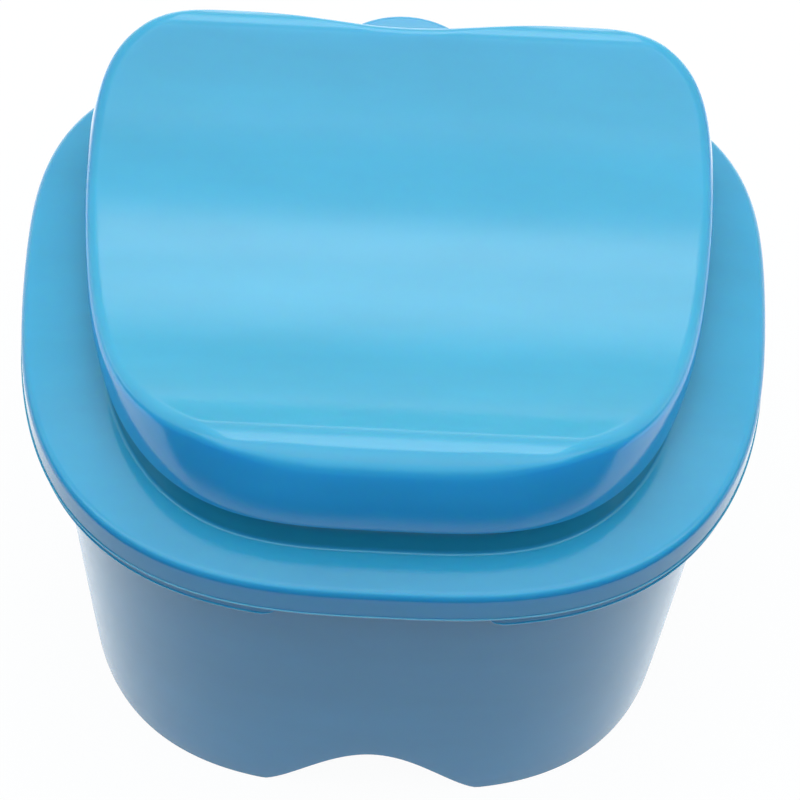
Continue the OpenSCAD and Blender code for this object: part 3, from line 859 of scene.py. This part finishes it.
def moulded_plastic(name, tint, upright_shade, roughness, glow, collar=None):
    """Injection-moulded polypropylene.

    Its skin copies a polished steel mould, so it is glossy with a faint orange peel;
    the melt leaves pale flow marks, and handling leaves a finely uneven sheen.
    """
    plastic = bpy.data.materials.new(name)
    tree = empty_tree(plastic)
    given = add(tree, "ShaderNodeTexCoord").outputs
    spot = given["Object"]
    # Skins that stand upright are painted a deeper blue than level ones: painted shade, set by the
    # way each face turns
    upward = add(tree, "ShaderNodeSeparateXYZ", {"Vector": given["Normal"]}).outputs["Z"]
    level = add(tree, MATH, {0: upward}, operation="ABSOLUTE")
    flat = add(tree, RAMP, {"Value": level, "From Min": 0.35, "From Max": 0.92}, **SMOOTH)
    blue = add(tree, "ShaderNodeMix", {0: flat, 6: upright_shade, 7: tint}, data_type="RGBA").outputs[2]
    if collar:
        # The lid's rib and the basket's lip stand behind the front of the collar. That front is
        # painted a darker blue-green: a painted shadow under the lid's overhang
        low, shadow_teal = collar
        axes = add(tree, "ShaderNodeSeparateXYZ", {"Vector": spot}).outputs
        above = add(tree, RAMP, {
            "Value": axes["Z"], "From Min": low, "From Max": low + 0.8 * MM}, **SMOOTH)
        ahead = add(tree, RAMP, {
            "Value": axes["Y"], "From Min": 20 * MM, "From Max": 0.0}, **SMOOTH)
        band = add(tree, MATH, {0: above, 1: ahead}, operation="MULTIPLY")
        blue = add(tree, "ShaderNodeMix", {
            0: band, 6: blue, 7: shadow_teal}, data_type="RGBA").outputs[2]
    stretched = add(tree, "ShaderNodeMapping", {"Vector": spot, "Scale": FLOW_MARKS})
    flow = add(tree, "ShaderNodeTexNoise", {
        "Vector": stretched, "Scale": 1.0, "Detail": 3.0, "Roughness": 0.55})
    streaks = add(tree, RAMP, {
        "Value": flow, "From Min": 0.25, "From Max": 0.75, "To Min": 0.95, "To Max": 1.05})
    shade = add(tree, "ShaderNodeMix", {
        0: 1.0, 6: blue, 7: streaks}, data_type="RGBA", blend_type="MULTIPLY").outputs[2]
    marks = add(tree, "ShaderNodeTexNoise", {
        "Vector": spot, "Scale": HANDLING, "Detail": 4.0, "Roughness": 0.6})
    sheen = add(tree, RAMP, {
        "Value": marks, "From Min": 0.3, "From Max": 0.7,
        "To Min": roughness * 0.85, "To Max": roughness * 1.2})
    peel = add(tree, "ShaderNodeTexNoise", {"Vector": spot, "Scale": PEEL, "Detail": 1.0})
    bump = add(tree, "ShaderNodeBump", {
        "Height": peel, "Strength": 0.25, "Distance": 0.04 * MM})
    surface = add(tree, "ShaderNodeBsdfPrincipled", {
        "Base Color": shade, "Roughness": sheen, "IOR": 1.49, "Normal": bump,
        "Subsurface Weight": glow, "Subsurface Radius": (0.1, 0.5, 1.0),
        "Subsurface Scale": 3 * MM})
    add(tree, "ShaderNodeOutputMaterial", {"Surface": surface})
    return plastic


def dress(thing, plastic):
    """Gives a piece its one material."""
    thing.data.materials.clear()
    thing.data.materials.append(plastic)


# Studio

# Camera fitted to the outlines in the photograph
ELEVATION = math.radians(52)
AZIMUTH = math.radians(-1.2)
ROLL = math.radians(3.64)
DISTANCE = 470 * MM
AIM = Vector((0, -0.2 * MM, 29.94 * MM))
LENS = 181.1
SHIFT = 11.52 / 800
WHITE = (1.0, 1.0, 1.0, 1.0)
# Strengths of the tent, and how much more it gives overhead and at the horizon
TENT_NORMAL = (0, 0.64, 0.77)
TENT_LIGHT, OVERHEAD, HORIZON = 0.92, 2.1, 2.2
# Cool light of the room in front of the tent, low down and high up
COOL = (0.4, 0.8, 1.0, 1.0)
FRONT_LOW, FRONT_HIGH = 0.2, 2.9
# Soft lamp behind the object, placed and sized by the X of its direction
LAMP_LIGHT, LAMP_X, LAMP_HALF = 2.4, 0.013, 0.1
# How the floor shows to the camera, as a painted reflection in gloss, and as paper far off and
# near, whose tones paint a pool of light round the object
FLOOR_SEEN, FLOOR_WHITE = 0.9, 1.06
GLOSS_AHEAD, GLOSS_BEHIND = 0.44, 1.1
PAPER_FAR, PAPER_NEAR = 0.04, 0.38
FLOOR_HALF = 1.5  # metres from the middle of the floor to its edge


def make_camera():
    """Camera at the photograph's angle, with its slight roll."""
    ahead = Vector((
        -math.sin(AZIMUTH) * math.cos(ELEVATION),
        math.cos(AZIMUTH) * math.cos(ELEVATION),
        -math.sin(ELEVATION)))
    level = Vector((math.cos(AZIMUTH), math.sin(AZIMUTH), 0))
    upright = level.cross(ahead)
    right = level * math.cos(ROLL) + upright * math.sin(ROLL)
    up = upright * math.cos(ROLL) - level * math.sin(ROLL)
    data = bpy.data.cameras.new("photo_camera")
    data.lens = LENS
    data.sensor_width = 36
    data.shift_x = SHIFT
    data.clip_start, data.clip_end = 0.01, 20
    camera = link("photo_camera", data)
    turn = Matrix((right, up, -ahead)).transposed()
    camera.matrix_world = Matrix.Translation(AIM - ahead * DISTANCE) @ turn.to_4x4()
    bpy.context.scene.camera = camera


def softbox(name, spot, target, size, power):
    """Large studio light that faces a target."""
    data = bpy.data.lights.new(name, "AREA")
    data.shape = "RECTANGLE"
    data.size, data.size_y = size
    data.energy = power
    light = link(name, data)
    spot = Vector(spot)
    turn = (Vector(target) - spot).to_track_quat("-Z", "Y").to_matrix().to_4x4()
    light.matrix_world = Matrix.Translation(spot) @ turn


def surroundings(tree):
    """White tent over the object, open to a dim cool room in front, with one soft lamp behind."""
    way = add(tree, "ShaderNodeTexCoord").outputs["Generated"]
    axes = add(tree, "ShaderNodeSeparateXYZ", {"Vector": way}).outputs
    behind = add(tree, "ShaderNodeVectorMath", {
        0: way, 1: TENT_NORMAL}, operation="DOT_PRODUCT").outputs["Value"]
    aside = add(tree, MATH, {0: axes["X"], 1: LAMP_X}, operation="SUBTRACT")
    aside = add(tree, MATH, {0: aside}, operation="ABSOLUTE")
    # Soft edges of each light, over parts of the unit direction
    sockets = ("Value", "From Min", "From Max", "To Min", "To Max")
    edges = {
        "tent": (behind, 0.24, 0.4, 0.0, 1.0),
        "overhead": (axes["Y"], 0.15, -0.1, 1.0, OVERHEAD),
        "horizon": (axes["Z"], 0.16, 0.02, 1.0, HORIZON),
        "front": (axes["Z"], 0.35, 0.8, FRONT_LOW, FRONT_HIGH),
        "lamp side": (aside, LAMP_HALF + 0.02, LAMP_HALF - 0.01, 0.0, 1.0),
        "lamp low": (axes["Z"], 0.40, 0.73, 0.0, 1.0),
        "lamp high": (axes["Z"], 0.95, 0.87, 0.0, 1.0),
    }
    soft = {
        name: add(tree, RAMP, dict(zip(sockets, row)), **SMOOTH)
        for name, row in edges.items()}
    back = add(tree, MATH, {0: axes["Y"], 1: 0}, operation="GREATER_THAN")
    room = add(tree, MATH, {0: 1.0, 1: soft["tent"]}, operation="SUBTRACT")
    lights = []
    for factors in (
            (soft["tent"], soft["horizon"], soft["overhead"], TENT_LIGHT),
            (soft["lamp side"], back, soft["lamp low"], soft["lamp high"], LAMP_LIGHT),
            (room, soft["front"])):
        light = factors[0]
        for factor in factors[1:]:
            light = add(tree, MATH, {0: light, 1: factor}, operation="MULTIPLY")
        lights.append(light)
    tent_and_lamp = add(tree, MATH, {0: lights[0], 1: lights[1]}, operation="ADD")
    inside = add(tree, "ShaderNodeBackground", {"Color": WHITE, "Strength": tent_and_lamp})
    outside = add(tree, "ShaderNodeBackground", {"Color": COOL, "Strength": lights[2]})
    ambient = add(tree, "ShaderNodeAddShader", {0: inside, 1: outside})
    white = add(tree, "ShaderNodeBackground", {"Color": WHITE, "Strength": 1.0})
    seen = add(tree, "ShaderNodeLightPath").outputs["Is Camera Ray"]
    mixed = add(tree, "ShaderNodeMixShader", {0: seen, 1: ambient, 2: white})
    add(tree, "ShaderNodeOutputWorld", {"Surface": mixed})


def sweep_paper():
    """White paper with a painted pool of light close to the object, dim far in front of it."""
    paper = bpy.data.materials.new("White sweep paper")
    tree = empty_tree(paper)
    spot = add(tree, "ShaderNodeTexCoord").outputs["Object"]
    axes = add(tree, "ShaderNodeSeparateXYZ", {"Vector": spot}).outputs
    # The painted pool of light is round in front of the object and opens out beside it
    ahead = add(tree, MATH, {0: axes["Y"], 1: 0.0}, operation="MINIMUM")
    away = add(tree, "ShaderNodeVectorMath", {
        0: add(tree, "ShaderNodeCombineXYZ", {"X": axes["X"], "Y": ahead})},
        operation="LENGTH").outputs["Value"]
    beside = add(tree, RAMP, {
        "Value": axes["Y"], "From Min": -0.06, "From Max": 0.02, "To Min": 0.0, "To Max": 0.4})
    near = add(tree, MATH, {0: beside, 1: away}, operation="SUBTRACT")
    painted_pool = add(tree, RAMP, {"Value": near, "From Min": -0.115, "From Max": -0.08}, **SMOOTH)
    # Painted pool of light: the paper's own tone is brighter near the object than far off
    tone = add(tree, MATH, {
        0: painted_pool, 1: PAPER_NEAR - PAPER_FAR, 2: PAPER_FAR}, operation="MULTIPLY_ADD")
    grey = add(tree, "ShaderNodeCombineColor", {"Red": tone, "Green": tone, "Blue": tone})
    matt = add(tree, "ShaderNodeBsdfDiffuse", {"Color": grey})
    bright = add(tree, "ShaderNodeEmission", {"Color": WHITE, "Strength": FLOOR_WHITE})
    path = add(tree, "ShaderNodeLightPath").outputs
    # The camera sees white, with a tenth of the paper's own shade left for the shadow
    share = add(tree, MATH, {0: path["Is Camera Ray"], 1: FLOOR_SEEN}, operation="MULTIPLY")
    mixed = add(tree, "ShaderNodeMixShader", {0: share, 1: matt, 2: bright})
    # Gloss and glass see the paper glow white too: a painted reflection, brightest behind the
    # object and only within the painted pool of light
    glossy = add(tree, MATH, {
        0: path["Is Glossy Ray"], 1: path["Is Transmission Ray"]}, operation="MAXIMUM")
    painted_reflection = add(tree, RAMP, {
        "Value": axes["Y"], "From Min": -0.1, "From Max": 0.06,
        "To Min": GLOSS_AHEAD, "To Max": GLOSS_BEHIND}, **SMOOTH)
    for factor in (painted_pool, glossy):
        painted_reflection = add(tree, MATH, {0: painted_reflection, 1: factor}, operation="MULTIPLY")
    shown = add(tree, "ShaderNodeEmission", {"Color": WHITE, "Strength": painted_reflection})
    both = add(tree, "ShaderNodeAddShader", {0: mixed, 1: shown})
    add(tree, "ShaderNodeOutputMaterial", {"Surface": both})
    return paper


def make_stage():
    """Pale floor, white surroundings, soft light and the camera."""
    scene = bpy.context.scene
    scene.view_settings.view_transform = "Standard"
    scene.world = bpy.data.worlds.new("white_studio")
    surroundings(empty_tree(scene.world))

    mesh = bmesh.new()
    bmesh.ops.create_grid(mesh, x_segments=1, y_segments=1, size=FLOOR_HALF)
    floor = link("floor", mesh_of("floor", mesh))
    floor.data.materials.append(sweep_paper())

    softbox(
        "top_softbox", spot=(0, 0.35, 1.2), target=(0, 0, 0.05), size=(1.0, 0.8), power=1.5)
    make_camera()


class Build:
    """What the operators share: each builds one thing from the scene's sizes."""

    def execute(self, context):
        self.build(context.scene.denture_case)
        return {"FINISHED"}


class CASE_OT_cup(Build, bpy.types.Operator):
    """Build the cup"""

    bl_idname = "denture_case.cup"
    bl_label = "Cup"

    def build(self, case):
        # Glossy, but a little duller than the lid
        # The cup's upright wall takes its painted shade colour
        tints = case.finish.cup, case.finish.cup_upright_shade
        plastic = moulded_plastic("Glossy moulded polypropylene, cup", *tints, 0.16, 0.6)
        dress(make_cup(case), plastic)


class CASE_OT_rim_frame(Build, bpy.types.Operator):
    """Build the rim frame"""

    bl_idname = "denture_case.rim_frame"
    bl_label = "Rim frame"

    def build(self, case):
        # About as glossy as the lid, with a painted shadow on the collar under it
        # The frame's skirt colour is its painted shade for upright skins
        tints = case.finish.frame, case.finish.skirt
        collar = places(case).deck, case.finish.collar
        plastic = moulded_plastic(
            "Glossy moulded polypropylene, frame", *tints, 0.12, 0.6, collar)
        dress(make_rim_frame(case), plastic)


class CASE_OT_basket(Build, bpy.types.Operator):
    """Build the strainer basket"""

    bl_idname = "denture_case.basket"
    bl_label = "Strainer basket"

    def build(self, case):
        # Satin from a plainer mould, paler because its wall is thin
        tints = case.finish.basket, case.finish.basket
        plastic = moulded_plastic("Satin moulded polypropylene, basket", *tints, 0.32, 0.0)
        dress(make_basket(case, plastic), plastic)


class CASE_OT_lid(Build, bpy.types.Operator):
    """Build the lid"""

    bl_idname = "denture_case.lid"
    bl_label = "Lid"

    def build(self, case):
        # Glossy, so that it mirrors the lamp as a broad pale band
        # The lid's upright face takes its painted shade colour
        tints = case.finish.lid, case.finish.upright_shade
        plastic = moulded_plastic("Glossy moulded polypropylene, lid", *tints, 0.13, 0.6)
        dress(make_lid(case), plastic)


class CASE_OT_pin(Build, bpy.types.Operator):
    """Dress the hinge pin"""

    bl_idname = "denture_case.pin"
    bl_label = "Hinge pin"

    def build(self, case):
        # Drawn through a die, so duller than the glossy skins
        tints = case.finish.pin, case.finish.pin
        dress(frame["nodes"]["hinge_pin"], moulded_plastic(
            "Extruded polypropylene rod", *tints, 0.3, 0.0))


class CASE_OT_stage(Build, bpy.types.Operator):
    """Set up the studio"""

    bl_idname = "denture_case.stage"
    bl_label = "Studio"

    def build(self, case):
        make_stage()


class CASE_PT_panel(bpy.types.Panel):
    """Pieces of the denture case"""

    bl_idname = "CASE_PT_panel"
    bl_label = "Denture Case"
    bl_space_type = "VIEW_3D"
    bl_region_type = "UI"
    bl_category = "Denture Case"

    def draw(self, context):
        for operator in OPERATORS:
            self.layout.operator(operator.bl_idname)


GROUPS = (RimSizes, CupSizes, FrameSizes, BasketSizes, LidSizes, HingeSizes, Finishes, DentureCase)
OPERATORS = (
    CASE_OT_stage, CASE_OT_cup, CASE_OT_rim_frame, CASE_OT_basket, CASE_OT_lid, CASE_OT_pin)


def register():
    for item in (*GROUPS, *OPERATORS, CASE_PT_panel):
        bpy.utils.register_class(item)
    bpy.types.Scene.denture_case = PointerProperty(type=DentureCase)


def unregister():
    del bpy.types.Scene.denture_case
    for item in reversed((*GROUPS, *OPERATORS, CASE_PT_panel)):
        bpy.utils.unregister_class(item)


def main():
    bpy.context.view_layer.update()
    register()
    bpy.ops.denture_case.stage()
    bpy.ops.denture_case.cup()
    bpy.ops.denture_case.rim_frame()
    bpy.ops.denture_case.basket()
    bpy.ops.denture_case.lid()
    bpy.ops.denture_case.pin()


if __name__ == "__main__":
    main()
